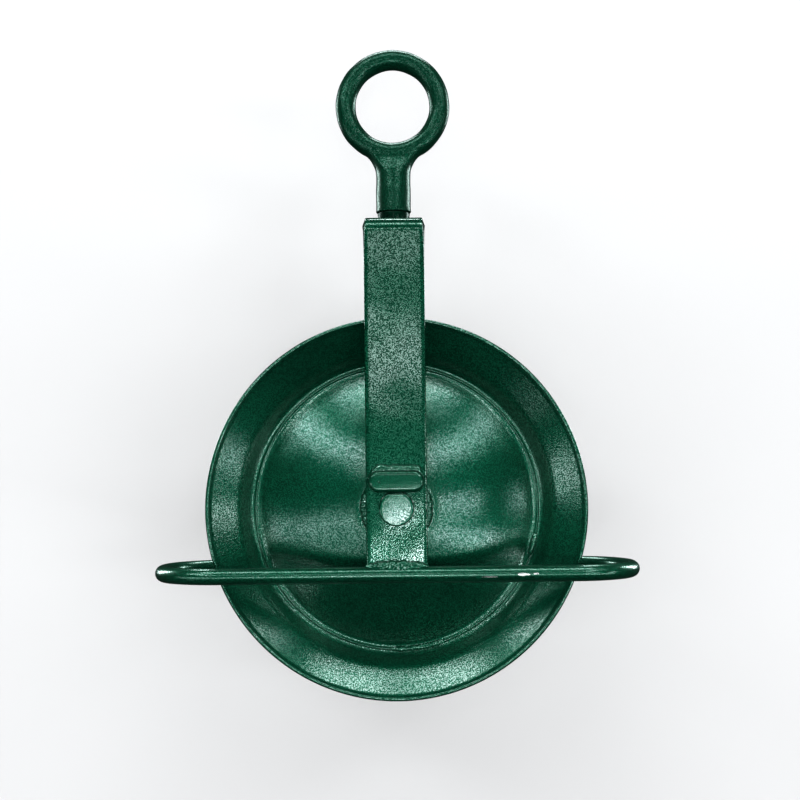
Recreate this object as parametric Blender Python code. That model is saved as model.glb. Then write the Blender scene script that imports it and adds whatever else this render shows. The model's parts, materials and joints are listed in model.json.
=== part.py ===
# Gin wheel: a rope pulley hung from a swivel ring, with a rope guard round the wheel.
# Metres, +Z up, the wheel turns about Y. The origin is the middle of the hanging ring.
import math

import bmesh
import bpy
from mathutils import Matrix, Vector

# running and seating gap between neighbouring pieces
GAP = 0.0003

# swivel eye: ring, shank and spigot
RING_RADIUS = 0.0325
RING_BAR = 0.0070
SHANK_RADIUS = 0.0120
SHANK_TOP_Z = -0.0505
SHOULDER_Z = -0.0745
SHOULDER_ROUND = 0.0010
SPIGOT_RADIUS = 0.0080
SPIGOT_END_Z = -0.1105
SPIGOT_ROOT = 0.0006
SPIGOT_CHAMFER = 0.0012

# thrust collar between shoulder and strap, washer and nut under the strap
COLLAR_RADIUS = 0.0112
COLLAR_EDGE = 0.0006
WASHER_RADIUS = 0.0150
WASHER_HEIGHT = 0.0030
NUT_ACROSS_FLATS = 0.0240
NUT_HEIGHT = 0.0130
NUT_FACE_INSET = 0.0006
NUT_CHAMFER = 0.0014
NUT_PIN_RADIUS = 0.0020
NUT_PIN_LENGTH = 0.0300
NUT_PIN_EDGE = 0.0004

# strap bent from flat bar
STRAP_TOP_Z = -0.0835
STRAP_THICKNESS = 0.0060
STRAP_WIDTH = 0.0400
STRAP_BEND = 0.0095
STRAP_EDGE = 0.0007
STRAP_OUTER_SHRINK = 0.0010
STRAP_INNER_BULGE = 0.0007
STRAP_SQUEEZE_RUN = 0.0300

# axle pin with a milled flat at each end
AXLE_Z = -0.2765
PIN_RADIUS = 0.01125
PIN_STICK_OUT = 0.0076
PIN_CHAMFER = 0.0009
PIN_FLAT_Z = 0.0093

# keeper plates welded to the strap above the flats
KEEPER_LENGTH = 0.0366
KEEPER_HEIGHT = 0.0143
KEEPER_THICKNESS = 0.0054
KEEPER_LOW_Z = 0.0104
KEEPER_ROUND = 0.0016

# rope guard loop of round rod
ROD_RADIUS = 0.00565
GUARD_Z = -0.3194
GUARD_STEP = 0.0004
GUARD_HALF_LENGTH = 0.1588

# sheave: two pressed discs on a hub tube
RIM_RADIUS = 0.1270
RIM_FACE = 0.0270
SHEET = 0.0030
DISC_PARTING = 0.0002
GROOVE_DEPTH = 0.0312
VALLEY_HALF = 0.0032
VALLEY_BEAD = 0.0008
BEND = 0.0026
RIM_EDGE = 0.0012
FLANGE_LIP = 0.0026
FLANGE_KNEE = 0.0100
FLANGE_ROOT_SLOPE = 1.30
HUB_LAND_RADIUS = 0.0268
HUB_LAND_DROP = 0.0034
CONE_CROWN = 0.0036
TUBE_WALL = 0.0057
TUBE_HALF_LENGTH = 0.0300
BUSH_WALL = 0.00345
BUSH_INSET = 0.0005
SPACER_RADIUS = 0.0180
SPACER_HEIGHT = 0.0032

# weld beads
FOOT_WELD_HALF = 0.0205
FOOT_WELD_RISE = 0.0048
FOOT_WELD_BOW = 0.0011
FOOT_WELD_TURN = (16.0, 38.0)
KEEPER_WELD_HALF = 0.0196
KEEPER_WELD_RISE = 0.0058
KEEPER_WELD_THIN = 0.0012
KEEPER_WELD_DEPTH = 0.0036
HUB_WELD_LEG = 0.0033
VALLEY_WELD_WIDTH = 0.0034
VALLEY_WELD_RISE = 0.0012
VALLEY_WELDS = {"valley_weld_low": (82.0, 11.0), "valley_weld_side": (16.0, 4.5)}
# bead sections as shares of their width and height
KEEPER_WELD_SHAPE = ((0.0, 0.0), (0.0, 1.0), (0.45, 0.86), (0.8, 0.55), (1.0, 0.25), (0.94, 0.0))
HUB_WELD_SHAPE = ((0.0, 0.0), (1.0, 0.0), (0.8, 0.45), (0.45, 0.82), (0.0, 1.0))
VALLEY_WELD_SHAPE = ((-1.0, 0.0), (-0.8, 0.6), (-0.3, 1.0), (0.35, 0.95), (0.82, 0.5), (1.0, 0.0))

# how far a drill or mill runs past what it cuts
OVERCUT = 0.0080

VALLEY_RADIUS = RIM_RADIUS - GROOVE_DEPTH
FLANGE_END_RADIUS = RIM_RADIUS - FLANGE_LIP
PIN_HOLE_RADIUS = PIN_RADIUS + GAP
BUSH_RADIUS = PIN_HOLE_RADIUS + BUSH_WALL
TUBE_BORE_RADIUS = BUSH_RADIUS + GAP
TUBE_RADIUS = TUBE_BORE_RADIUS + TUBE_WALL
SPIGOT_HOLE_RADIUS = SPIGOT_RADIUS + GAP
# across the axle every piece follows from the hub tube's half length
BUSH_HALF_LENGTH = TUBE_HALF_LENGTH - BUSH_INSET
HUB_LAND_FACE = TUBE_HALF_LENGTH - HUB_LAND_DROP
STRAP_FACE_Y = TUBE_HALF_LENGTH + GAP + SPACER_HEIGHT + GAP + STRAP_THICKNESS
PIN_END_Y = STRAP_FACE_Y + PIN_STICK_OUT
GUARD_HALF_DEPTH = STRAP_FACE_Y + GUARD_STEP
GUARD_TOP_Z = GUARD_Z + ROD_RADIUS
STRAP_FOOT_Z = GUARD_TOP_Z + GAP

for old in list(bpy.data.objects):
    bpy.data.objects.remove(old, do_unlink=True)


def make_paint(name, colour, roughness, metallic):
    paint = bpy.data.materials.new(name)
    paint.use_nodes = True
    shader = paint.node_tree.nodes["Principled BSDF"]
    shader.inputs["Base Color"].default_value = (*colour, 1.0)
    shader.inputs["Roughness"].default_value = roughness
    shader.inputs["Metallic"].default_value = metallic
    return paint


GREEN = (0.006, 0.115, 0.060)
STEEL = (0.42, 0.42, 0.43)
BRONZE = (0.55, 0.36, 0.16)


def add_object(name, bm, colour, roughness=0.3, metallic=0.0, origin=(0.0, 0.0, 0.0), angle=32.0):
    """Turns the bmesh into a named object whose origin lies on its joint axis."""
    bmesh.ops.remove_doubles(bm, verts=bm.verts, dist=1e-7)
    bmesh.ops.recalc_face_normals(bm, faces=bm.faces)
    for face in bm.faces:
        face.smooth = True
    bm.transform(Matrix.Translation(-Vector(origin)))
    mesh = bpy.data.meshes.new(name)
    bm.to_mesh(mesh)
    bm.free()
    mesh.set_sharp_from_angle(angle=math.radians(angle))
    obj = bpy.data.objects.new(name, mesh)
    obj.location = origin
    bpy.context.scene.collection.objects.link(obj)
    mesh.materials.append(make_paint(name + "_paint", colour, roughness, metallic))
    return obj


def join_rings(bm, rings, closed=False):
    """Skins a row of equal point rings; an open row gets a cap at each end."""
    verts = [[bm.verts.new(p) for p in ring] for ring in rings]
    count = len(verts[0])
    pairs = list(zip(verts, verts[1:]))
    if closed:
        pairs.append((verts[-1], verts[0]))
    for low, high in pairs:
        for i in range(count):
            j = (i + 1) % count
            bm.faces.new((low[i], low[j], high[j], high[i]))
    if not closed:
        bm.faces.new(verts[0])
        bm.faces.new(list(reversed(verts[-1])))
    return verts


def spin_profile(profile, steps, axis, centre=(0.0, 0.0, 0.0)):
    """Spins a closed (radius, height) profile; height runs along the axis."""
    bm = bmesh.new()
    centre = Vector(centre)
    side = Vector((1.0, 0.0, 0.0))
    axis = Vector(axis)
    verts = [bm.verts.new(centre + side * r + axis * h) for r, h in profile]
    edges = [bm.edges.new((verts[i], verts[(i + 1) % len(verts)])) for i in range(len(verts))]
    bmesh.ops.spin(bm, geom=verts + edges, cent=centre, axis=axis,
                   angle=math.tau, steps=steps, use_merge=True)
    return bm


def ring_profile(inner, outer, low, high, chamfer=0.0):
    if not chamfer:
        return [(inner, low), (outer, low), (outer, high), (inner, high)]
    return [
        (inner, low), (outer - chamfer, low), (outer, low + chamfer),
        (outer, high - chamfer), (outer - chamfer, high), (inner, high),
    ]


def add_cutter(name, bm):
    bmesh.ops.recalc_face_normals(bm, faces=bm.faces)
    mesh = bpy.data.meshes.new(name)
    bm.to_mesh(mesh)
    bm.free()
    cutter = bpy.data.objects.new(name, mesh)
    cutter.hide_render = True
    cutter.display_type = "WIRE"
    bpy.context.scene.collection.objects.link(cutter)
    return cutter


def rod_cutter(name, radius, length, axis, centre, steps=40):
    """Solid cylinder used to drill a hole along the axis."""
    bm = bmesh.new()
    turn = Vector((0.0, 0.0, 1.0)).rotation_difference(Vector(axis)).to_matrix().to_4x4()
    bmesh.ops.create_cone(bm, cap_ends=True, segments=steps, radius1=radius, radius2=radius,
                          depth=length, matrix=Matrix.Translation(centre) @ turn)
    return add_cutter(name, bm)


def box_cutter(name, low, high):
    bm = bmesh.new()
    low, high = Vector(low), Vector(high)
    scale = Matrix.Diagonal((*(high - low), 1.0))
    bmesh.ops.create_cube(bm, size=1.0, matrix=Matrix.Translation((low + high) / 2) @ scale)
    return add_cutter(name, bm)


def boolean(obj, cutter, operation="DIFFERENCE"):
    step = obj.modifiers.new("cut " + cutter.name, "BOOLEAN")
    step.operation = operation
    step.solver = "EXACT"
    step.object = cutter
    return step


def bevel(obj, width, segments, angle=38.0):
    step = obj.modifiers.new("soft edges", "BEVEL")
    step.width = width
    step.segments = segments
    step.limit_method = "ANGLE"
    step.angle_limit = math.radians(angle)
    step.use_clamp_overlap = True
    return step


# Swivel eye: a torus with a patch opened at its foot, blended into the round shank
def hermite(p0, t0, p1, t1, s):
    a = 2 * s ** 3 - 3 * s ** 2 + 1
    b = s ** 3 - 2 * s ** 2 + s
    c = -2 * s ** 3 + 3 * s ** 2
    d = s ** 3 - s ** 2
    return p0 * a + t0 * b + p1 * c + t1 * d


def build_swivel_eye():
    major, minor, reach = 48, 16, 3
    bm = bmesh.new()

    def ring_point(i, j):
        a = math.tau * i / major
        b = math.tau * j / minor
        out = Vector((math.sin(a), 0.0, -math.cos(a)))
        return out * (RING_RADIUS + RING_BAR * math.cos(b)) + Vector((0.0, RING_BAR * math.sin(b), 0.0))

    grid = {}
    for i in range(major):
        for j in range(minor):
            away = min(i, major - i)
            turn = min(j, minor - j)
            if away < reach and turn < reach:
                continue
            grid[i, j] = bm.verts.new(ring_point(i, j))
    for i in range(major):
        for j in range(minor):
            corners = [(i, j), ((i + 1) % major, j), ((i + 1) % major, (j + 1) % minor), (i, (j + 1) % minor)]
            if all(c in grid for c in corners):
                steps = [(min(c[0], major - c[0]), min(c[1], minor - c[1])) for c in corners]
                if all(s[0] <= reach and s[1] <= reach for s in steps):
                    continue
                bm.faces.new([grid[c] for c in corners])

    # walk round the opened patch, starting on the +X side at the front
    walk = []
    for j in range(-reach, reach):
        walk.append((reach, j))
    for i in range(reach, -reach, -1):
        walk.append((i, reach))
    for j in range(reach, -reach, -1):
        walk.append((-reach, j))
    for i in range(-reach, reach):
        walk.append((i, -reach))
    count = len(walk)
    rings = [[grid[i % major, j % minor] for i, j in walk]]
    blend_steps = 6
    for k in range(1, blend_steps + 1):
        s = k / blend_steps
        ring = []
        for n, (i, j) in enumerate(walk):
            start = ring_point(i, j)
            inward = ring_point(i - (i > 0) + (i < 0), j - (j > 0) + (j < 0)) - start
            if abs(i) < reach:
                inward = ring_point(i, j - (j > 0) + (j < 0)) - start
            elif abs(j) < reach:
                inward = ring_point(i - (i > 0) + (i < 0), j) - start
            angle = math.tau * (n - reach) / count
            foot = Vector((math.cos(angle) * SHANK_RADIUS, math.sin(angle) * SHANK_RADIUS, SHANK_TOP_Z))
            pull = (foot - start).length
            point = hermite(start, inward.normalized() * pull * 0.9, foot,
                            Vector((0.0, 0.0, -1.0)) * pull * 1.1, s)
            ring.append(bm.verts.new(point))
        rings.append(ring)

    # straight shank, rounded shoulder, spigot and its chamfer
    heights = [(SHANK_RADIUS, (SHANK_TOP_Z + SHOULDER_Z) / 2)]
    for k in range(4):
        a = math.radians(30.0 * k)
        heights.append((SHANK_RADIUS - SHOULDER_ROUND * (1 - math.cos(a)),
                        SHOULDER_Z + SHOULDER_ROUND * (1 - math.sin(a))))
    heights += [
        (SPIGOT_RADIUS + SPIGOT_ROOT, SHOULDER_Z), (SPIGOT_RADIUS, SHOULDER_Z - SPIGOT_ROOT),
        (SPIGOT_RADIUS, SPIGOT_END_Z + SPIGOT_CHAMFER),
        (SPIGOT_RADIUS - SPIGOT_CHAMFER, SPIGOT_END_Z),
    ]
    for radius, z in heights:
        ring = []
        for n in range(count):
            angle = math.tau * (n - reach) / count
            ring.append(bm.verts.new((math.cos(angle) * radius, math.sin(angle) * radius, z)))
        rings.append(ring)
    for low, high in zip(rings, rings[1:]):
        for n in range(count):
            m = (n + 1) % count
            bm.faces.new((low[n], low[m], high[m], high[n]))
    bm.faces.new(rings[-1])
    eye = add_object("swivel_eye", bm, GREEN)
    boolean(eye, PIN_DRILL)
    return eye


# Pieces on the spigot
def build_spigot_parts():
    profile = ring_profile(SPIGOT_HOLE_RADIUS, COLLAR_RADIUS, STRAP_TOP_Z + GAP, SHOULDER_Z - GAP, COLLAR_EDGE)
    # the bore's top edge clears the fillet at the spigot's root
    profile[-1:] = [(SPIGOT_HOLE_RADIUS + SPIGOT_ROOT, SHOULDER_Z - GAP),
                    (SPIGOT_HOLE_RADIUS, SHOULDER_Z - GAP - SPIGOT_ROOT)]
    add_object("thrust_collar", spin_profile(profile, 32, (0, 0, 1)), GREEN)
    high = STRAP_TOP_Z - STRAP_THICKNESS - GAP
    add_object("spigot_washer", spin_profile(
        ring_profile(SPIGOT_HOLE_RADIUS, WASHER_RADIUS, high - WASHER_HEIGHT, high),
        32, (0, 0, 1)), STEEL, 0.35, 1.0)
    nut_high = high - WASHER_HEIGHT - GAP
    nut_low = nut_high - NUT_HEIGHT
    corner = NUT_ACROSS_FLATS / math.sqrt(3.0)
    rings = []
    for z in (nut_low - GAP, nut_high + GAP):
        rings.append([Vector((corner * math.cos(math.tau * k / 6 + math.pi / 6),
                              corner * math.sin(math.tau * k / 6 + math.pi / 6), z)) for k in range(6)])
    bm = bmesh.new()
    join_rings(bm, rings)
    nut = add_object("spigot_nut", bm, STEEL, 0.35, 1.0)
    face = NUT_ACROSS_FLATS / 2 - NUT_FACE_INSET
    tip = corner + NUT_FACE_INSET
    cone = add_cutter("nut_corner_cone", spin_profile([
        (SPIGOT_HOLE_RADIUS, nut_low), (face, nut_low), (tip, nut_low + NUT_CHAMFER),
        (tip, nut_high - NUT_CHAMFER), (face, nut_high), (SPIGOT_HOLE_RADIUS, nut_high),
    ], 24, (0, 0, 1)))
    boolean(nut, cone, "INTERSECT")
    boolean(nut, PIN_DRILL)
    middle = (nut_low + nut_high) / 2
    half = NUT_PIN_LENGTH / 2
    bm = spin_profile([
        (0.0, -half), (NUT_PIN_RADIUS - NUT_PIN_EDGE, -half), (NUT_PIN_RADIUS, NUT_PIN_EDGE - half),
        (NUT_PIN_RADIUS, half - NUT_PIN_EDGE), (NUT_PIN_RADIUS - NUT_PIN_EDGE, half), (0.0, half),
    ], 14, (0, 0, 1))
    bm.transform(Matrix.Translation((0, 0, middle)) @ Matrix.Rotation(math.pi / 2, 4, "Y"))
    add_object("nut_pin", bm, STEEL, 0.3, 1.0)


# Strap: flat bar bent to an upside-down U; a bent bar shrinks outside and bulges inside
def build_strap():
    inner_bend = STRAP_BEND - STRAP_THICKNESS
    tangent_z = STRAP_TOP_Z - STRAP_BEND
    corner_y = STRAP_FACE_Y - STRAP_BEND
    half = STRAP_WIDTH / 2
    stations = []

    def leg(z, squeeze):
        stations.append((Vector((-STRAP_FACE_Y, z)), Vector((-STRAP_FACE_Y + STRAP_THICKNESS, z)), squeeze, squeeze))

    leg(STRAP_FOOT_Z, 0.0)
    for share in (1.0, 0.4, 0.17):
        leg(tangent_z - STRAP_SQUEEZE_RUN * share, 0.5 * (1.0 - share) ** 2)
    turns = 6
    for k in range(turns + 1):
        a = math.pi / 2 * k / turns
        way = Vector((-math.cos(a), math.sin(a)))
        centre = Vector((-corner_y, tangent_z))
        bulge = 0.5 + 0.5 * math.sin(2 * a)
        stations.append((centre + way * STRAP_BEND, centre + way * inner_bend, 0.5 + 0.5 * k / turns, bulge))
    mirrored = []
    for outer, inner, squeeze, bulge in reversed(stations):
        mirrored.append((Vector((-outer.x, outer.y)), Vector((-inner.x, inner.y)), squeeze, bulge))
    rings = []
    for outer, inner, squeeze, bulge in stations + mirrored:
        wide = half - STRAP_OUTER_SHRINK * squeeze
        deep = half + STRAP_INNER_BULGE * bulge
        rings.append([
            Vector((-wide, outer.x, outer.y)), Vector((wide, outer.x, outer.y)),
            Vector((deep, inner.x, inner.y)), Vector((-deep, inner.x, inner.y)),
        ])
    bm = bmesh.new()
    join_rings(bm, rings)
    strap = add_object("frame_strap", bm, GREEN)
    bevel(strap, STRAP_EDGE, 2)
    boolean(strap, rod_cutter("axle_drill", PIN_HOLE_RADIUS, 2 * (STRAP_FACE_Y + OVERCUT), (0, 1, 0),
                              (0, 0, AXLE_Z), 40))
    boolean(strap, rod_cutter("spigot_drill", SPIGOT_HOLE_RADIUS, STRAP_THICKNESS + 2 * OVERCUT, (0, 0, 1),
                              (0, 0, STRAP_TOP_Z - STRAP_THICKNESS / 2)))


# Rope guard: one rod swept round a long loop that lies level
def build_guard():
    turns, sides = 12, 14
    straight = GUARD_HALF_LENGTH - GUARD_HALF_DEPTH
    path = []
    for end in (1, -1):
        for k in range(turns + 1):
            a = -math.pi / 2 + math.pi * k / turns
            way = Vector((math.cos(a) * end, math.sin(a) * end, 0.0))
            path.append((Vector((straight * end, 0.0, GUARD_Z)) + way * GUARD_HALF_DEPTH, way))
        path.append((Vector((0.0, GUARD_HALF_DEPTH * end, GUARD_Z)), Vector((0.0, float(end), 0.0))))
    rings = []
    for point, way in path:
        ring = []
        for n in range(sides):
            b = math.tau * n / sides
            ring.append(point + way * (ROD_RADIUS * math.cos(b)) + Vector((0, 0, ROD_RADIUS * math.sin(b))))
        rings.append(ring)
    bm = bmesh.new()
    join_rings(bm, rings, closed=True)
    add_object("guard_loop", bm, GREEN, angle=50.0)


# Axle pin with the two flats, keepers and spacers
def build_axle():
    bm = spin_profile([
        (0.0, -PIN_END_Y), (PIN_RADIUS - PIN_CHAMFER, -PIN_END_Y), (PIN_RADIUS, -PIN_END_Y + PIN_CHAMFER),
        (PIN_RADIUS, PIN_END_Y - PIN_CHAMFER), (PIN_RADIUS - PIN_CHAMFER, PIN_END_Y), (0.0, PIN_END_Y),
    ], 40, (0, 1, 0), (0, 0, AXLE_Z))
    pin = add_object("axle_pin", bm, GREEN, origin=(0, 0, AXLE_Z))
    for side, name in ((-1, "front"), (1, "rear")):
        near, far = sorted((side * STRAP_FACE_Y, side * (PIN_END_Y + OVERCUT)))
        reach = PIN_RADIUS + OVERCUT
        boolean(pin, box_cutter(name + "_flat_mill", (-reach, near, AXLE_Z + PIN_FLAT_Z),
                                (reach, far, AXLE_Z + reach)))
        build_keeper(name, side)
        low = TUBE_HALF_LENGTH + GAP
        profile = ring_profile(PIN_HOLE_RADIUS, SPACER_RADIUS, low, low + SPACER_HEIGHT)
        add_object(name + "_axle_washer", spin_profile(
            [(r, side * h) for r, h in profile], 32, (0, 1, 0), (0, 0, AXLE_Z)),
            STEEL, 0.35, 1.0, origin=(0, 0, AXLE_Z))


def build_keeper(name, side):
    radius = KEEPER_HEIGHT / 2
    reach = KEEPER_LENGTH / 2 - radius
    middle = AXLE_Z + KEEPER_LOW_Z + radius
    rings = []
    for y in (STRAP_FACE_Y + GAP, STRAP_FACE_Y + GAP + KEEPER_THICKNESS):
        ring = []
        for end in (1, -1):
            for k in range(11):
                a = -math.pi / 2 + math.pi * k / 10
                ring.append(Vector((end * (reach + radius * math.cos(a)), side * y,
                                    middle + end * radius * math.sin(a))))
        rings.append(ring)
    bm = bmesh.new()
    join_rings(bm, rings)
    keeper = add_object(name + "_keeper", bm, GREEN)
    bevel(keeper, KEEPER_ROUND, 3, 60.0)


# Weld beads: a lumpy row of sections with steady ripples
def ripple(t, seed):
    return (0.5 * math.sin(9.1 * t + seed) + 0.3 * math.sin(21.7 * t + 2.3 * seed)
            + 0.2 * math.sin(37.3 * t + 0.7 * seed))


def build_bead(name, path, section, steps, seed, origin=(0.0, 0.0, 0.0)):
    """path(t) gives a frame (point, out, up); section(t, lump) gives (out, up) pairs."""
    rings = []
    for k in range(steps + 1):
        t = k / steps
        point, out, up = path(t)
        ends = min(1.0, math.sin(math.pi * min(max(t, 0.02), 0.98)) * 3.2)
        lump = ends * (1.0 + 0.24 * ripple(t * 3.0, seed))
        rings.append([point + out * a + up * b for a, b in section(t, lump)])
    bm = bmesh.new()
    join_rings(bm, rings)
    add_object(name, bm, GREEN, origin=origin, angle=60.0)


def build_foot_welds():
    for side, name, seed in ((-1, "front", 0.6), (1, "rear", 3.9)):
        def path(t, side=side):
            x = FOOT_WELD_HALF * (2 * t - 1)
            return Vector((x, 0.0, 0.0)), Vector((0.0, float(side), 0.0)), Vector((0.0, 0.0, 1.0))

        def section(t, lump):
            face = STRAP_FACE_Y + GAP
            rod = ROD_RADIUS + GAP
            rise = FOOT_WELD_RISE * lump
            swing = math.radians(FOOT_WELD_TURN[0] + FOOT_WELD_TURN[1] * lump)
            end_y = GUARD_HALF_DEPTH + rod * math.sin(swing)
            end_z = GUARD_Z + rod * math.cos(swing)
            top_z = STRAP_FOOT_Z + rise
            points = [(face, STRAP_FOOT_Z), (face, top_z)]
            for s in (0.3, 0.55, 0.8):
                bow = FOOT_WELD_BOW * lump * math.sin(math.pi * s)
                points.append((face + (end_y - face) * s ** 0.8 + bow, top_z + (end_z - top_z) * s ** 1.15 + bow))
            for s in (1.0, 0.75, 0.5, 0.3):
                a = swing * s
                points.append((GUARD_HALF_DEPTH + rod * math.sin(a), GUARD_Z + rod * math.cos(a)))
            return points

        build_bead(name + "_foot_weld", path, section, 22, seed)


def build_keeper_welds():
    for side, name, seed in ((-1, "front", 1.1), (1, "rear", 4.4)):
        def path(t, side=side):
            x = KEEPER_WELD_HALF * (2 * t - 1)
            return Vector((x, 0.0, AXLE_Z)), Vector((0.0, float(side), 0.0)), Vector((0.0, 0.0, 1.0))

        def section(t, lump):
            x = KEEPER_WELD_HALF * (2 * t - 1)
            radius = KEEPER_HEIGHT / 2 + GAP
            reach = KEEPER_LENGTH / 2 - KEEPER_HEIGHT / 2
            over = max(0.0, abs(x) - reach)
            drop = radius - math.sqrt(max(radius ** 2 - over ** 2, (radius * 0.28) ** 2))
            low = KEEPER_LOW_Z + KEEPER_HEIGHT + GAP - drop
            face = STRAP_FACE_Y + GAP
            rise = KEEPER_WELD_THIN + (KEEPER_WELD_RISE - KEEPER_WELD_THIN) * lump
            rise *= 1.0 - 0.35 * drop / radius
            deep = KEEPER_WELD_DEPTH * (0.3 + 0.7 * lump)
            return [(face + deep * a, low + rise * b) for a, b in KEEPER_WELD_SHAPE]

        build_bead(name + "_keeper_weld", path, section, 26, seed)


# Sheave: each disc falls from the hub to a valley and flares out again to the rim
def crowned(start, end, parts, crown):
    """Points from start to end that bow outwards by the crown."""
    points = []
    for k in range(parts + 1):
        s = k / parts
        points.append((start[0] + (end[0] - start[0]) * s,
                       start[1] + (end[1] - start[1]) * s + crown * math.sin(math.pi * s)))
    return points


def disc_profile():
    back = DISC_PARTING
    front = DISC_PARTING + SHEET
    hole = TUBE_RADIUS + GAP
    cone_foot = VALLEY_RADIUS - VALLEY_HALF
    flange_foot = VALLEY_RADIUS + VALLEY_HALF
    # the flange leaves the valley steeply and lies flatter past its knee
    knee = VALLEY_RADIUS + FLANGE_KNEE
    knee_face = front + FLANGE_ROOT_SLOPE * (knee - flange_foot)
    flange_slope = (RIM_FACE - RIM_EDGE - knee_face) / (FLANGE_END_RADIUS - knee)
    root_depth = SHEET * math.hypot(1.0, FLANGE_ROOT_SLOPE)
    flange_depth = SHEET * math.hypot(1.0, flange_slope)
    inner_foot = flange_foot + (root_depth - SHEET) / FLANGE_ROOT_SLOPE
    inner_knee = knee + (root_depth - flange_depth) / (FLANGE_ROOT_SLOPE - flange_slope)
    soft = BEND * 0.5
    outer = [(hole, HUB_LAND_FACE)]
    outer += crowned((HUB_LAND_RADIUS, HUB_LAND_FACE), (cone_foot - BEND, front + BEND * 0.4), 5, CONE_CROWN)
    outer += [
        (cone_foot, front), (VALLEY_RADIUS - VALLEY_BEAD, front), (VALLEY_RADIUS, front + VALLEY_BEAD),
        (VALLEY_RADIUS + VALLEY_BEAD, front), (flange_foot, front + BEND * 0.1),
        (flange_foot + soft, front + soft * FLANGE_ROOT_SLOPE),
        (knee - soft, knee_face - soft * FLANGE_ROOT_SLOPE), (knee + soft, knee_face + soft * flange_slope),
        (FLANGE_END_RADIUS, RIM_FACE - RIM_EDGE), (FLANGE_END_RADIUS + RIM_EDGE, RIM_FACE),
        (RIM_RADIUS - RIM_EDGE * 0.5, RIM_FACE - RIM_EDGE * 0.4), (RIM_RADIUS, RIM_FACE - RIM_EDGE * 1.2),
    ]
    inner = [
        (RIM_RADIUS - RIM_EDGE * 0.2, RIM_FACE - RIM_EDGE * 2.4),
        (FLANGE_END_RADIUS, RIM_FACE - RIM_EDGE - flange_depth),
        (inner_knee, knee_face + (inner_knee - knee) * flange_slope - flange_depth),
        (inner_foot + soft, back + soft * FLANGE_ROOT_SLOPE), (flange_foot, back), (cone_foot, back),
    ]
    inner += crowned((cone_foot - BEND, back + BEND * 0.4), (HUB_LAND_RADIUS, HUB_LAND_FACE - SHEET), 3, CONE_CROWN)
    inner.append((hole, HUB_LAND_FACE - SHEET))
    return outer + inner


def build_sheave():
    centre = (0.0, 0.0, AXLE_Z)
    for side, name in ((-1, "front"), (1, "rear")):
        profile = [(r, side * h) for r, h in disc_profile()]
        add_object(name + "_disc", spin_profile(profile, 48, (0, 1, 0), centre), GREEN,
                   origin=centre, angle=30.0)
        build_hub_weld(name, side)
    add_object("hub_tube", spin_profile(
        ring_profile(TUBE_BORE_RADIUS, TUBE_RADIUS, -TUBE_HALF_LENGTH, TUBE_HALF_LENGTH),
        40, (0, 1, 0), centre), GREEN, origin=centre)
    add_object("hub_bush", spin_profile(
        ring_profile(PIN_HOLE_RADIUS, BUSH_RADIUS, -BUSH_HALF_LENGTH, BUSH_HALF_LENGTH),
        36, (0, 1, 0), centre), BRONZE, 0.35, 1.0, origin=centre)
    for name, (middle, spread) in VALLEY_WELDS.items():
        build_valley_weld(name, math.radians(middle), math.radians(spread))


def build_hub_weld(name, side):
    steps = 42
    tube = TUBE_RADIUS + GAP
    face = HUB_LAND_FACE + GAP
    rings = []
    for k in range(steps):
        a = math.tau * k / steps
        lump = 1.0 + 0.10 * math.sin(11 * a + 1.2 * side) + 0.06 * math.sin(23 * a)
        leg = HUB_WELD_LEG * lump
        top = min(leg, TUBE_HALF_LENGTH - face)
        out = Vector((math.cos(a), 0.0, math.sin(a)))
        ring = []
        for r, h in HUB_WELD_SHAPE:
            ring.append(Vector((0, side * (face + top * h), AXLE_Z)) + out * (tube + leg * r))
        rings.append(ring)
    bm = bmesh.new()
    join_rings(bm, rings, closed=True)
    add_object(name + "_hub_weld", bm, GREEN, origin=(0, 0, AXLE_Z), angle=60.0)


def build_valley_weld(name, middle, spread):
    base = SHEET + DISC_PARTING + VALLEY_BEAD + GAP

    def path(t):
        a = middle + spread * (2 * t - 1)
        out = Vector((math.cos(a), 0.0, -math.sin(a)))
        return Vector((0, 0, AXLE_Z)) + out * VALLEY_RADIUS, out, Vector((0.0, -1.0, 0.0))

    def section(t, lump):
        half = VALLEY_WELD_WIDTH / 2 * (0.45 + 0.55 * lump)
        rise = VALLEY_WELD_RISE * (0.35 + 0.65 * lump)
        return [(half * a, base + rise * b) for a, b in VALLEY_WELD_SHAPE]

    build_bead(name, path, section, 14, 2.0 + middle, origin=(0, 0, AXLE_Z))


PIN_DRILL = rod_cutter("nut_pin_drill", NUT_PIN_RADIUS + GAP, NUT_PIN_LENGTH + 2 * OVERCUT, (1, 0, 0),
                       (0, 0, STRAP_TOP_Z - STRAP_THICKNESS - 2 * GAP - WASHER_HEIGHT - NUT_HEIGHT / 2), 20)
build_swivel_eye()
build_spigot_parts()
build_strap()
build_guard()
build_axle()
build_keeper_welds()
build_foot_welds()
build_sheave()
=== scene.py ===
import json
import math

import bmesh
import bpy
from mathutils import Matrix, Vector, noise


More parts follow.
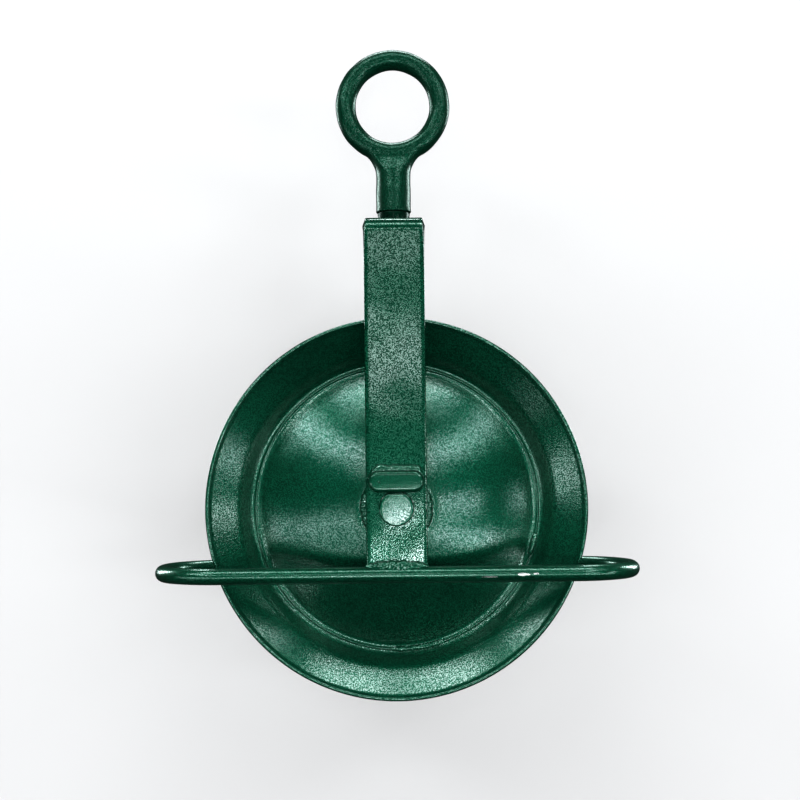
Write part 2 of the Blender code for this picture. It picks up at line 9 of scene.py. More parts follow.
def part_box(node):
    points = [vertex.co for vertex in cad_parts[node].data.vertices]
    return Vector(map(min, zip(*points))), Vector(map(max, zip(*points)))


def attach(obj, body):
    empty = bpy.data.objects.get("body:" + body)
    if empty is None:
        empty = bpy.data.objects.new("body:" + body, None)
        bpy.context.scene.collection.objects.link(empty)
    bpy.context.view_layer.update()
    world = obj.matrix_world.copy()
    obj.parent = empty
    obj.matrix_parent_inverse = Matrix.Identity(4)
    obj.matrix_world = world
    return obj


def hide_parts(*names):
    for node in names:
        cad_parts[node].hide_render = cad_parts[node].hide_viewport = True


# Gin wheel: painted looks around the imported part. Metres, +Z up, the camera looks along +Y.
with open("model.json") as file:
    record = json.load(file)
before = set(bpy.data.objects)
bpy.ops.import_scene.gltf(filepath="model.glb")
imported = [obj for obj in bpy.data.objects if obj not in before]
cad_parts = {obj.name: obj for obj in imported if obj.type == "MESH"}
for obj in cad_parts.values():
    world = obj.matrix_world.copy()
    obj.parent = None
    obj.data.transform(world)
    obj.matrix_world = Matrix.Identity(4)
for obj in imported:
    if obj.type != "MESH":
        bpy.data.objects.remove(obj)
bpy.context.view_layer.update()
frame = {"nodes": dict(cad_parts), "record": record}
scene = bpy.context.scene
bodyOf = {node: body for body, nodes in frame["record"]["behaviour"]["bodies"].items() for node in nodes}
gap = 0.0003    # keeps a weld clear of the piece that it lies on
sharpAngle = 40.0    # edges sharper than this stay crisp
wheelCentre = Vector((0.0, 0.0, (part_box("front_disc")[0].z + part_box("front_disc")[1].z) / 2))
print("frame loaded with", len(frame["nodes"]), "nodes")


# small tools used by every piece
def wave(point, size, seed):
    # smooth random height from -1 to 1, one hill for each size
    return noise.noise(Vector(point) / size + Vector((seed, seed * 1.7, -seed * 0.6)))


def chance(place):
    return noise.noise(Vector(place))


def roughen(bm, amount, size, seed):
    bm.normal_update()
    for vert in bm.verts:
        vert.co += vert.normal * amount * wave(vert.co, size, seed)


def addObject(name, data):
    thing = bpy.data.objects.new(name, data)
    scene.collection.objects.link(thing)
    return thing


def meshFrom(name, bm):
    mesh = bpy.data.meshes.new(name)
    bm.to_mesh(mesh)
    bm.free()
    return mesh


def join(bm, near, far, closed=True):
    # a strip of faces between two rows of points
    count = len(near)
    for i in range(count if closed else count - 1):
        j = (i + 1) % count
        bm.faces.new((near[i], near[j], far[j], far[i]))


def skin(rings, closed=False):
    # a mesh along a row of rings; an open row gets both ends filled
    bm = bmesh.new()
    rows = [[bm.verts.new(point) for point in ring] for ring in rings]
    for near, far in zip(rows, rows[1:]):
        join(bm, near, far)
    if closed:
        join(bm, rows[-1], rows[0])
    else:
        bm.faces.new(rows[0])
        bm.faces.new(rows[-1][::-1])
    return bm


def turned(profile, steps, axis="Y", centre=(0.0, 0.0, 0.0), closed=True):
    # spins (radius, height) points round Y or Z
    bm = bmesh.new()
    rows = []
    for k in range(steps):
        a = math.tau * k / steps
        row = []
        for radius, height in profile:
            x, y = radius * math.cos(a), radius * math.sin(a)
            spot = (x, height, y) if axis == "Y" else (x, y, height)
            row.append(bm.verts.new(Vector(centre) + Vector(spot)))
        rows.append(row)
    for k in range(steps):
        join(bm, rows[k], rows[(k + 1) % steps], closed)
    bmesh.ops.remove_doubles(bm, verts=bm.verts, dist=1e-7)
    return bm


def washerProfile(inner, outer, low, high, edge):
    # square section with its four corners rounded
    points = []
    for r, h, turn in ((inner, low, 180), (outer, low, 270), (outer, high, 0), (inner, high, 90)):
        r += edge if r == inner else -edge
        h += edge if h == low else -edge
        for k in range(4):
            a = math.radians(turn + 30 * k)
            points.append((r + edge * math.cos(a), h + edge * math.sin(a)))
    return points


def addBlob(bm, centre, sizes, seed, lumps):
    # a drop of weld or paint with three radii
    start = len(bm.verts)
    bmesh.ops.create_icosphere(bm, subdivisions=3, radius=1.0)
    bm.verts.ensure_lookup_table()
    for vert in bm.verts[start:]:
        push = 1.0 + lumps * wave(vert.co * 1.3, 1.0, seed)
        vert.co = Vector(centre) + Vector([vert.co[i] * sizes[i] * push for i in range(3)])


def finishPiece(name, bm, node, paint, sharp=sharpAngle):
    # makes the piece that stands for its node
    bmesh.ops.recalc_face_normals(bm, faces=bm.faces)
    mesh = meshFrom(name, bm)
    mesh.shade_smooth()
    mesh.set_sharp_from_angle(angle=math.radians(sharp))
    mesh.materials.append(paint)
    piece = addObject(name, mesh)
    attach(piece, bodyOf[node])
    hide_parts(node)
    return piece


def drill(piece, radius, start, end):
    # cuts a round hole from start to end and keeps the result as the piece's mesh
    start, end = Vector(start), Vector(end)
    way = end - start
    bm = bmesh.new()
    turn = Vector((0, 0, 1)).rotation_difference(way).to_matrix().to_4x4()
    bmesh.ops.create_cone(bm, cap_ends=True, segments=96, radius1=radius, radius2=radius,
                          depth=way.length, matrix=Matrix.Translation((start + end) / 2) @ turn)
    cut(piece, bm)


def mill(piece, low, high):
    # cuts away a square block
    low, high = Vector(low), Vector(high)
    bm = bmesh.new()
    bmesh.ops.create_cube(bm, size=1.0, matrix=Matrix.Translation((low + high) / 2)
                          @ Matrix.Diagonal((*(high - low), 1.0)))
    cut(piece, bm)


def cut(piece, bm):
    cutter = addObject("cutter", meshFrom("cutter", bm))
    step = piece.modifiers.new("cut", "BOOLEAN")
    step.object = cutter
    step.solver = "EXACT"
    bpy.context.view_layer.update()
    result = piece.evaluated_get(bpy.context.evaluated_depsgraph_get())
    done = bpy.data.meshes.new_from_object(result)
    piece.modifiers.remove(step)
    bpy.data.objects.remove(cutter)
    piece.data = done
    done.shade_smooth()
    done.set_sharp_from_angle(angle=math.radians(sharpAngle))


# finishes
greenPaint = {
    "colour": (0.0022, 0.050, 0.026),
    "shade": (0.0015, 0.038, 0.020),    # the deeper green that drifts through it
    "driftSize": 0.045,
    "pitShade": (0.0006, 0.012, 0.006),    # painted shade between the grains, standing in for the dark speckle of the coat's reflections
    "shine": 0.4,    # broad green shine of the pigment
    "shineTint": (0.06, 1.00, 0.58),
    "roughness": 0.32,
    "roughDrift": (-0.03, 0.04),
    "roughSize": 0.020,
    "clear": (0.08, 1.0),    # clear skin on top of it, thin in the grain's pits
    "clearRoughness": 0.11,
    "clearIndex": 1.65,
    "peelSize": 0.0008,    # grain of the powder coat
    "peelEdge": (0.45, 0.57),    # from pit to full grain
    "peelHeight": 0.00008,
    "peelBelow": 0.00004,
    "waveSize": 0.011,
    "waveHeight": 0.00006,
    "nibSize": 0.012,    # one dust nib for each cell of this size
    "nibEdge": (0.055, 0.015),
    "nibHeight": 0.00010,
}
chipLook = {"size": 0.0016, "bite": 1.6, "edge": (1.62, 1.50), "depth": 0.00012}    # ragged bare spots
anyMetal = {"stainSize": 0.006, "roughSpread": (-0.06, 0.1), "lineDepth": 0.00002}
bareSteel = {"colour": (0.34, 0.34, 0.33), "stain": (0.19, 0.17, 0.14), "roughness": 0.52,
             "lineSize": (0.0004, 0.0004, 0.0004)}
bushMetal = {"colour": (0.62, 0.42, 0.20), "stain": (0.20, 0.12, 0.05), "roughness": 0.34,
             "lineSize": (0.0003, 0.02, 0.0003)}


def newMaterial(name):
    material = bpy.data.materials.new(name)
    material.use_nodes = True
    tree = material.node_tree
    return material, tree, tree.nodes.new("ShaderNodeTexCoord").outputs["Object"]


def addNoise(tree, vector, size, detail=2.0, roughness=0.5):
    texture = tree.nodes.new("ShaderNodeTexNoise")
    texture.inputs["Scale"].default_value = 1.0 / size
    texture.inputs["Detail"].default_value = detail
    texture.inputs["Roughness"].default_value = roughness
    tree.links.new(vector, texture.inputs["Vector"])
    return texture.outputs["Fac"]


def addRange(tree, value, fromLow, fromHigh, toLow=0.0, toHigh=1.0, smooth=True):
    step = tree.nodes.new("ShaderNodeMapRange")
    step.interpolation_type = "SMOOTHSTEP" if smooth else "LINEAR"
    numbers = {"From Min": fromLow, "From Max": fromHigh, "To Min": toLow, "To Max": toHigh}
    for socket, number in numbers.items():
        step.inputs[socket].default_value = number
    tree.links.new(value, step.inputs["Value"])
    return step.outputs["Result"]


def addMath(tree, kind, first, second):
    step = tree.nodes.new("ShaderNodeMath")
    step.operation = kind
    for socket, value in zip(step.inputs, (first, second)):
        if isinstance(value, (int, float)):
            socket.default_value = value
        else:
            tree.links.new(value, socket)
    return step.outputs[0]


def addMix(tree, share, first, second):
    step = tree.nodes.new("ShaderNodeMix")
    step.data_type = "RGBA"
    tree.links.new(share, step.inputs["Factor"])
    for socket, value in ((step.inputs["A"], first), (step.inputs["B"], second)):
        if isinstance(value, tuple):
            socket.default_value = (*value, 1.0)
        else:
            tree.links.new(value, socket)
    return step.outputs["Result"]


def addVector(tree, kind, vector, other=None):
    step = tree.nodes.new("ShaderNodeVectorMath")
    step.operation = kind
    tree.links.new(vector, step.inputs[0])
    if other:
        step.inputs[1].default_value = other
    return step.outputs["Value" if kind == "LENGTH" else "Vector"]


def addBump(tree, height, distance, before=None):
    step = tree.nodes.new("ShaderNodeBump")
    step.inputs["Distance"].default_value = distance
    tree.links.new(height, step.inputs["Height"])
    if before:
        tree.links.new(before, step.inputs["Normal"])
    return step.outputs["Normal"]


def spotMask(tree, place, spots):
    # 1 inside any of the ragged ovals; a spot is a centre and three radii
    ragged = addNoise(tree, place, chipLook["size"], 3.0, 0.7)
    bite = addMath(tree, "MULTIPLY", ragged, chipLook["bite"])
    whole = None
    for centre, radii in spots:
        shift = addVector(tree, "SUBTRACT", place, centre)
        far = addVector(tree, "LENGTH", addVector(tree, "DIVIDE", shift, radii))
        mask = addRange(tree, addMath(tree, "ADD", far, bite), *chipLook["edge"])
        whole = mask if whole is None else addMath(tree, "MAXIMUM", whole, mask)
    return whole


def makePaint(name, chips=(), **changes):
    look = {**greenPaint, **changes}
    material, tree, place = newMaterial(name)
    shader = tree.nodes["Principled BSDF"]
    drift = addNoise(tree, place, look["driftSize"], 3.0, 0.55)
    colour = addMix(tree, addRange(tree, drift, 0.35, 0.65), look["colour"], look["shade"])
    peel = addNoise(tree, place, look["peelSize"], 1.0, 0.5)
    grain = addRange(tree, peel, *look["peelEdge"])
    # painted shade: the base colour goes darker between the grains
    colour = addMix(tree, grain, look["pitShade"], colour)
    less, more = look["roughDrift"]
    rough = addNoise(tree, place, look["roughSize"], 3.0, 0.6)
    rough = addRange(tree, rough, 0.3, 0.7, look["roughness"] + less, look["roughness"] + more,
                     smooth=False)
    # slow waves in the sheet, then dust nibs, then the grain of the coat
    normal = addBump(tree, addNoise(tree, place, look["waveSize"], 2.0), look["waveHeight"])
    cells = tree.nodes.new("ShaderNodeTexVoronoi")
    cells.inputs["Scale"].default_value = 1.0 / look["nibSize"]
    tree.links.new(place, cells.inputs["Vector"])
    nib = addRange(tree, cells.outputs["Distance"], *look["nibEdge"])
    normal = addBump(tree, nib, look["nibHeight"], normal)
    below = addBump(tree, peel, look["peelBelow"], normal)
    normal = addBump(tree, peel, look["peelHeight"], normal)
    if chips:
        metal = spotMask(tree, place, chips)
        colour = addMix(tree, metal, colour, bareSteel["colour"])
        below = addBump(tree, metal, -chipLook["depth"], below)
        tree.links.new(metal, shader.inputs["Metallic"])
    tree.links.new(colour, shader.inputs["Base Color"])
    tree.links.new(rough, shader.inputs["Roughness"])
    tree.links.new(below, shader.inputs["Normal"])
    tree.links.new(normal, shader.inputs["Coat Normal"])
    shader.inputs["Specular IOR Level"].default_value = look["shine"]
    shader.inputs["Specular Tint"].default_value = (*look["shineTint"], 1.0)
    skinWeight = addRange(tree, peel, *look["peelEdge"], *look["clear"])
    tree.links.new(skinWeight, shader.inputs["Coat Weight"])
    shader.inputs["Coat Roughness"].default_value = look["clearRoughness"]
    shader.inputs["Coat IOR"].default_value = look["clearIndex"]
    shader.inputs["IOR"].default_value = 1.5
    return material


def makeMetal(name, metal):
    look = {**anyMetal, **metal}
    material, tree, place = newMaterial(name)
    shader = tree.nodes["Principled BSDF"]
    lines = addVector(tree, "DIVIDE", place, look["lineSize"])
    lines = addNoise(tree, lines, 1.0, 3.0, 0.6)
    stain = addNoise(tree, place, look["stainSize"], 4.0, 0.6)
    colour = addMix(tree, addRange(tree, stain, 0.48, 0.72), look["colour"], look["stain"])
    less, more = look["roughSpread"]
    rough = addRange(tree, lines, 0.3, 0.7, look["roughness"] + less, look["roughness"] + more,
                     smooth=False)
    tree.links.new(colour, shader.inputs["Base Color"])
    tree.links.new(rough, shader.inputs["Roughness"])
    tree.links.new(addBump(tree, lines, look["lineDepth"]), shader.inputs["Normal"])
    shader.inputs["Metallic"].default_value = 1.0
    return material


# hanging eye: ring, shank and threaded spigot forged and turned in one
hangingEye = {
    "barRadius": 0.0070, "roundSteps": 112, "barSteps": 48,
    "openRound": 9, "openBar": 10,    # where the neck leaves the ring
    "blendSteps": 20, "blendPull": 0.7, "blendSmooth": 26, "blendBelow": 5,
    "shankRadius": 0.0120, "shankTop": -0.0470, "shoulder": -0.0745, "shoulderRound": 0.0010,
    "spigotRadius": 0.0080, "spigotEdge": 0.0012, "spigotRoot": 0.0006, "plainStep": 0.002,
    "threadTop": -0.0915, "threadPitch": 0.0020, "threadDepth": 0.0010, "threadRunOut": 0.002,
    "forging": 0.00022, "forgingSize": 0.009, "forgingSink": 0.35,
}


def ease(start, startPull, end, endPull, s):
    return (start * (2 * s ** 3 - 3 * s ** 2 + 1) + startPull * (s ** 3 - 2 * s ** 2 + s)
            + end * (3 * s ** 2 - 2 * s ** 3) + endPull * (s ** 3 - s ** 2))


def buildHangingEye(paint):
    d = hangingEye
    low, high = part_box("swivel_eye")
    barRadius = d["barRadius"]
    ringRadius = high.z - barRadius
    major, minor, openI, openJ = d["roundSteps"], d["barSteps"], d["openRound"], d["openBar"]
    bm = bmesh.new()

    def ringPoint(i, j):
        a, b = math.tau * i / major, math.tau * j / minor
        out = Vector((math.sin(a), 0.0, -math.cos(a)))
        return out * (ringRadius + barRadius * math.cos(b)) + Vector((0.0, barRadius * math.sin(b), 0.0))

    def away(i, j):
        return min(i % major, -i % major), min(j % minor, -j % minor)

    grid = {}
    for i in range(major):
        for j in range(minor):
            farI, farJ = away(i, j)
            if farI >= openI or farJ >= openJ:
                grid[i, j] = bm.verts.new(ringPoint(i, j))
    for i in range(major):
        for j in range(minor):
            nextI, nextJ = (i + 1) % major, (j + 1) % minor
            corners = [(i, j), (nextI, j), (nextI, nextJ), (i, nextJ)]
            inside = all(away(*c)[0] <= openI and away(*c)[1] <= openJ for c in corners)
            if not inside:
                bm.faces.new([grid[c] for c in corners])

    # round the opening: each stop has its ring place, way inwards and turn on the shank
    sides = [[(openI, j, -1, 0) for j in range(-openJ, openJ)],
             [(i, openJ, 0, -1) for i in range(openI, -openI, -1)],
             [(-openI, j, 1, 0) for j in range(openJ, -openJ, -1)],
             [(i, -openJ, 0, 1) for i in range(-openI, openI)]]
    walk = []
    for n, side in enumerate(sides):
        for k, stop in enumerate(side):
            walk.append((*stop, 90 * n - 45 + 90 * k / len(side)))
    rows = [[grid[i % major, j % minor] for i, j, *_ in walk]]
    for k in range(1, d["blendSteps"] + 1):
        row = []
        for i, j, stepI, stepJ, turn in walk:
            if abs(i) == openI and abs(j) == openJ:
                stepI, stepJ = -i // openI, -j // openJ
            start = ringPoint(i, j)
            inward = (ringPoint(i + stepI, j + stepJ) - start).normalized()
            a = math.radians(turn)
            foot = Vector((math.cos(a) * d["shankRadius"], math.sin(a) * d["shankRadius"], d["shankTop"]))
            pull = (foot - start).length * d["blendPull"]
            down = Vector((0, 0, -pull))
            row.append(bm.verts.new(ease(start, inward * pull, foot, down, k / d["blendSteps"])))
        rows.append(row)

    # straight shank, rounded shoulder, then the thread cut as one long helix
    stops = []
    straight = d["shoulder"] + d["shoulderRound"] - d["shankTop"]
    for k in range(1, 13):
        stops.append((d["shankRadius"], d["shankTop"] + straight * k / 12))
    for k in range(1, 7):
        a = math.radians(15 * k)
        stops.append((d["shankRadius"] - d["shoulderRound"] * (1 - math.cos(a)),
                      d["shoulder"] + d["shoulderRound"] * (1 - math.sin(a))))
    stops.append((d["spigotRadius"] + d["spigotRoot"], d["shoulder"]))
    stops.append((d["spigotRadius"], d["shoulder"] - d["spigotRoot"]))
    z = d["shoulder"] - d["plainStep"]
    while z > low.z + d["spigotEdge"]:
        stops.append((d["spigotRadius"], z))
        z -= d["threadPitch"] / 8 if z < d["threadTop"] + 0.001 else d["plainStep"]
    stops.append((d["spigotRadius"], low.z + d["spigotEdge"]))
    stops.append((d["spigotRadius"] - d["spigotEdge"], low.z))
    for radius, z in stops:
        row = []
        for *_, turn in walk:
            a = math.radians(turn)
            r = radius
            if z < d["threadTop"]:
                along = (z / d["threadPitch"] + turn / 360.0) % 1.0
                grown = min(1.0, (d["threadTop"] - z) / d["threadRunOut"])
                r -= d["threadDepth"] * abs(2 * along - 1) * grown
            row.append(bm.verts.new((math.cos(a) * r, math.sin(a) * r, z)))
        rows.append(row)
    for near, far in zip(rows, rows[1:]):
        join(bm, near, far)
    bm.faces.new(rows[-1])
    # rub the neck smooth, a little way into the ring and the shank too
    blend = [vert for row in rows[:d["blendSteps"] + d["blendBelow"]] for vert in row]
    for _ in range(d["blendSmooth"]):
        bmesh.ops.smooth_vert(bm, verts=blend, factor=0.5,
                              use_axis_x=True, use_axis_y=True, use_axis_z=True)
    bmesh.ops.recalc_face_normals(bm, faces=bm.faces)
    bm.normal_update()
    for vert in bm.verts:
        if vert.co.z > d["shoulder"] + 0.002:
            hill = wave(vert.co, d["forgingSize"], 3.1) - d["forgingSink"]
            vert.co += vert.normal * d["forging"] * hill
    finishPiece("hangingEye", bm, "swivel_eye", paint)


# collar, washer, nut and pin on the spigot
spigotSet = {
    "bore": 0.0083, "washerEdge": 0.0003, "pinEdge": 0.0005, "nutEdge": 0.0003,
    "collarEdge": 0.0006, "collarTaper": 0.0012, "collarWear": 0.00012, "collarWearSize": 0.004,
}


def buildSpigotSet(dark, steel):
    d = spigotSet
    bore = d["bore"]
    low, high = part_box("thrust_collar")
    profile = []
    for r, h in washerProfile(bore, high.x, low.z, high.z, d["collarEdge"]):
        share = (high.z - h) / (high.z - low.z)
        profile.append((r - d["collarTaper"] * share if r > (bore + high.x) / 2 else r, h))
    bm = turned(profile, 96, "Z")
    roughen(bm, d["collarWear"], d["collarWearSize"], 8.0)
    # the collar takes the near-black paint: painted shade of the gap under the shoulder
    finishPiece("thrustCollar", bm, "thrust_collar", dark)
    low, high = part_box("spigot_washer")
    profile = washerProfile(bore, high.x, low.z, high.z, d["washerEdge"])
    finishPiece("spigotWasher", turned(profile, 96, "Z"), "spigot_washer", steel)
    low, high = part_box("nut_pin")
    radius = (high.z - low.z) / 2
    half = high.x
    profile = [(0.0, -half)]
    for k in range(5):
        a = math.radians(90 * k / 4)
        profile.append((radius - d["pinEdge"] * (1 - math.sin(a)),
                        -half + d["pinEdge"] * (1 - math.cos(a))))
    profile += [(r, -h) for r, h in profile[::-1]]
    bm = turned(profile, 40, "Z")
    bm.transform(Matrix.Translation((0, 0, (low.z + high.z) / 2)) @ Matrix.Rotation(math.pi / 2, 4, "Y"))
    finishPiece("nutPin", bm, "nut_pin", steel)
    # the nut keeps its solid, with its corners softened
    nut = frame["nodes"]["spigot_nut"]
    nut.data.materials.clear()
    nut.data.materials.append(steel)
    soft = nut.modifiers.new("soft corners", "BEVEL")
    soft.width = d["nutEdge"]
    soft.segments = 3
    soft.limit_method = "ANGLE"


# strap: flat bar bent over the wheel, thick paint on its edges
bentStrap = {
    "width": 0.0400, "thickness": 0.0060, "bend": 0.0095, "edge": 0.0010, "step": 0.0015,
    "outerShrink": 0.0010, "innerBulge": 0.0007, "squeezeRun": 0.030,
    "across": 18, "flatness": 0.00016, "flatSize": 0.022, "flatSink": 0.6,
    "pinHole": 0.01155, "spigotHole": 0.0083,
}


def strapPath():
    # places on the outer face, the way out there, and how far the bend squeezes the bar
    d = bentStrap
    low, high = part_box("frame_strap")
    faceY, topZ = high.y, high.z
    tangentZ, cornerY = topZ - d["bend"], faceY - d["bend"]
    stops = []
    legLength = tangentZ - low.z
    count = round(legLength / d["step"])
    for k in range(count + 1):
        z = low.z + legLength * k / count
        near = max(0.0, 1 - (tangentZ - z) / d["squeezeRun"])
        stops.append((-faceY, z, (-1.0, 0.0), 0.5 * near ** 2, 0.5 * near ** 2))
    for k in range(1, 17):
        a = math.pi / 2 * k / 16
        way = (-math.cos(a), math.sin(a))
        stops.append((-cornerY + way[0] * d["bend"], tangentZ + way[1] * d["bend"], way,
                      0.5 + 0.5 * k / 16, 0.5 + 0.5 * math.sin(2 * a)))
    count = round(cornerY / d["step"])
    for k in range(1, count):
        y = -cornerY + cornerY * k / count
        stops.append((y, topZ, (0.0, 1.0), 1.0, 0.5))
    back = [(-y, z, (-way[0], way[1]), squeeze, bulge) for y, z, way, squeeze, bulge in stops[::-1]]
    return stops + [(0.0, topZ, (0.0, 1.0), 1.0, 0.5)] + back


def buildBentStrap(paint):
    d = bentStrap
    rings = []
    for y, z, way, squeeze, bulge in strapPath():
        outerHalf = d["width"] / 2 - d["outerShrink"] * squeeze
        innerHalf = d["width"] / 2 + d["innerBulge"] * bulge
        edge = d["edge"]
        section = []
        for sx, sy, first in ((1, 0, -90), (1, 1, 0), (-1, 1, 90), (-1, 0, 180)):
            # from the outer +X corner round to the inner ones; depth 0 is the outer face
            half = outerHalf if sy == 0 else innerHalf
            depth = edge if sy == 0 else d["thickness"] - edge
            for k in range(5):
                a = math.radians(first + 22.5 * k)
                section.append((sx * (half - edge) + edge * math.cos(a), depth + edge * math.sin(a)))
            if (sx, sy) in ((1, 1), (-1, 0)):
                side = 1 if (sx, sy) == (1, 1) else -1
                for k in range(1, d["across"]):
                    x = side * (half - edge) * (1 - 2 * k / d["across"])
                    section.append((x, d["thickness"] if side == 1 else 0.0))
        ring = []
        for x, depth in section:
            spot = Vector((x, y - way[0] * depth, z - way[1] * depth))
            push = d["flatness"] * (wave((x, y * 3, z), d["flatSize"], 5.0) - d["flatSink"])
            side = 1 if depth < d["thickness"] / 2 else -1
            ring.append(spot + Vector((0.0, *way)) * push * side)
        rings.append(ring)
    bm = skin(rings)
    strap = finishPiece("bentStrap", bm, "frame_strap", paint)
    low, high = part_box("frame_strap")
    drill(strap, d["pinHole"], (0, low.y - 0.01, wheelCentre.z), (0, high.y + 0.01, wheelCentre.z))
    drill(strap, d["spigotHole"], (0, 0, high.z + 0.01), (0, 0, high.z - 0.02))


# rope guard: round rod in a long loop
ropeGuard = {
    "sides": 40, "step": 0.0016, "wander": 0.00022, "wanderSize": 0.07,
    "shrink": 0.00007, "dent": 0.00005, "dentSize": 0.012,
    # bare spots on the front: centre and three radii
    "chips": [((0.0815, -0.0456, -0.3196), (0.0050, 0.0030, 0.0013)),
              ((0.0900, -0.0456, -0.3192), (0.0022, 0.0030, 0.0010)),
              ((0.0600, -0.0450, -0.3210), (0.0060, 0.0030, 0.0006))],
}


def buildRopeGuard(paint):
    d = ropeGuard
    low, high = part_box("guard_loop")
    rod = (high.z - low.z) / 2
    z = (high.z + low.z) / 2
    bendRadius = high.y - rod
    straight = high.x - rod - bendRadius
    path = []
    for end in (1, -1):
        count = round(math.pi * bendRadius / d["step"])
        for k in range(count + 1):
            a = -math.pi / 2 + math.pi * k / count
            way = Vector((math.cos(a) * end, math.sin(a) * end, 0.0))
            path.append((Vector((straight * end, 0.0, z)) + way * bendRadius, way))
        count = round(2 * straight / d["step"])
        for k in range(1, count):
            way = Vector((0.0, float(end), 0.0))
            x = end * straight * (1 - 2 * k / count)
            path.append((Vector((x, bendRadius * end, z)), way))
    rings = []
    for point, way in path:
        up = Vector((0, 0, 1))
        centre = point - way * d["wander"] * (0.5 + 0.5 * wave(point, d["wanderSize"], 2.0))
        centre += up * d["wander"] * 0.6 * (wave(point, d["wanderSize"], 9.0) - 0.5)
        ring = []
        for n in range(d["sides"]):
            b = math.tau * n / d["sides"]
            out = way * math.cos(b) + up * math.sin(b)
            dent = d["dent"] * wave(centre + out * rod, d["dentSize"], 4.0)
            ring.append(centre + out * (rod - d["shrink"] + dent))
        rings.append(ring)
    bm = skin(rings, closed=True)
    finishPiece("ropeGuard", bm, "guard_loop", paint)


# wheel: two pressed discs back to back
pressedDisc = {
    "sheet": 0.0030, "hole": 0.0213, "holeEdge": 0.0005, "landRadius": 0.0268, "landFace": 0.0266,
    "coneFoot": 0.0926, "flangeFoot": 0.0990, "fineFrom": 0.0906, "fineTo": 0.1024,
    "valleyRadius": 0.0958, "beadHeight": 0.0008, "beadHalf": 0.0008, "crown": 0.0036,
    "knee": 0.1058, "rootSlope": 1.30, "flangeEnd": 0.14,
    "lipRadius": 0.1244, "lipRound": 0.0014, "lipDrop": 0.0012, "smooth": 0.0016, "parting": 0.0002,
    "steps": 300, "uneven": 0.00022, "unevenSize": 0.035,
    "hubHold": (0.030, 0.015), "valleyHold": 0.010, "rimHold": (0.1265, 0.006),    # stiff places and runs
}


def polyline(points, r):
    # height of a line of (radius, height) points at one radius
    for (r0, h0), (r1, h1) in zip(points, points[1:]):
        if r <= r1:
            return h0 + (h1 - h0) * (r - r0) / (r1 - r0)
    return points[-1][1]


def softened(points, r, width):
    # the same line with its corners rounded over a width
    taps = 8
    return sum(polyline(points, r + width * (2 * k / taps - 1)) for k in range(taps + 1)) / (taps + 1)


def discLines():
    d = pressedDisc
    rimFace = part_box("rear_disc")[1].y
    landFace = d["landFace"]
    front = d["sheet"] + d["parting"]
    cone = []
    for k in range(25):
        s = k / 24
        cone.append((d["landRadius"] + (d["coneFoot"] - d["landRadius"]) * s,
                     (landFace - front) * (1 - s) + d["crown"] * math.sin(math.pi * s)))
    # the flange leaves the valley steeply and lies flatter past its knee
    steep, knee, foot = d["rootSlope"], d["knee"], d["flangeFoot"]
    kneeFace = front + steep * (knee - foot)
    slope = (rimFace - d["lipDrop"] - kneeFace) / (d["lipRadius"] - knee)
    rootSlant, slant = d["sheet"] * math.hypot(1.0, steep), d["sheet"] * math.hypot(1.0, slope)
    innerFoot = foot + (rootSlant - d["sheet"]) / steep
    innerKnee = knee + (rootSlant - slant) / (steep - slope)
    outer = [(0.0, landFace)] + [(r, front + h) for r, h in cone]
    end = d["flangeEnd"]
    outer += [(foot, front), (knee, kneeFace), (end, kneeFace + slope * (end - knee))]
    inner = [(0.0, landFace - d["sheet"])] + [(r, d["parting"] + h) for r, h in cone]
    inner += [(innerFoot, d["parting"]), (innerKnee, kneeFace + slope * (innerKnee - knee) - slant),
              (end, kneeFace + slope * (end - knee) - slant)]
    return outer, inner, rimFace


def discProfile():
    d = pressedDisc
    outer, inner, rimFace = discLines()
    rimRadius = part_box("rear_disc")[1].x
    # close stops in the valley, wider ones on the cone and the flange
    stops = [d["hole"] + d["holeEdge"] + 0.0010 * k for k in range(6)]
    stops += [d["landRadius"] + (d["fineFrom"] - d["landRadius"]) * k / 34 for k in range(1, 35)]
    stops += [d["fineFrom"] + 0.00032 * k for k in range(1, 37)]
    stops += [d["fineTo"] + (d["lipRadius"] - 0.0003 - d["fineTo"]) * k / 12 for k in range(1, 13)]
    points = [(d["hole"], outer[0][1] - d["holeEdge"])]
    for r in stops:
        bead = d["beadHeight"] * math.exp(-((r - d["valleyRadius"]) / d["beadHalf"]) ** 2)
        points.append((r, softened(outer, r, d["smooth"]) + bead))
    # rolled lip at the rim
    centre = (rimRadius - d["lipRound"], rimFace - d["lipRound"])
    for k in range(11):
        a = math.radians(145 - 19 * k)
        points.append((centre[0] + d["lipRound"] * math.cos(a), centre[1] + d["lipRound"] * math.sin(a)))
    for r in stops[::-1][::2]:
        points.append((r, softened(inner, r, d["smooth"])))
    points.append((d["hole"], inner[0][1] + 0.0003))
    return points


def buildDisc(name, node, side, paint):
    d = pressedDisc
    bm = turned([(r, side * h) for r, h in discProfile()], d["steps"], "Y", wheelCentre)
    for vert in bm.verts:
        away = vert.co - wheelCentre
        r = math.hypot(away.x, away.z)
        # pressed sheet is a little uneven between its hub, valley and rim
        hub, hubRun = d["hubHold"]
        rim, rimRun = d["rimHold"]
        free = min(1.0, max(0.0, (r - hub) / hubRun))
        free *= min(1.0, abs(r - d["valleyRadius"]) / d["valleyHold"])
        free *= min(1.0, max(0.0, (rim - r) / rimRun))
        vert.co.y += side * d["uneven"] * free * wave(vert.co, d["unevenSize"], 11.0 + side)
    finishPiece(name, bm, node, paint, sharp=50.0)


# hub: tube, bush, spacer washers and the axle pin
hubSet = {"tubeBore": 0.0153, "bushBore": 0.01155, "washerBore": 0.01155, "edge": 0.0004}


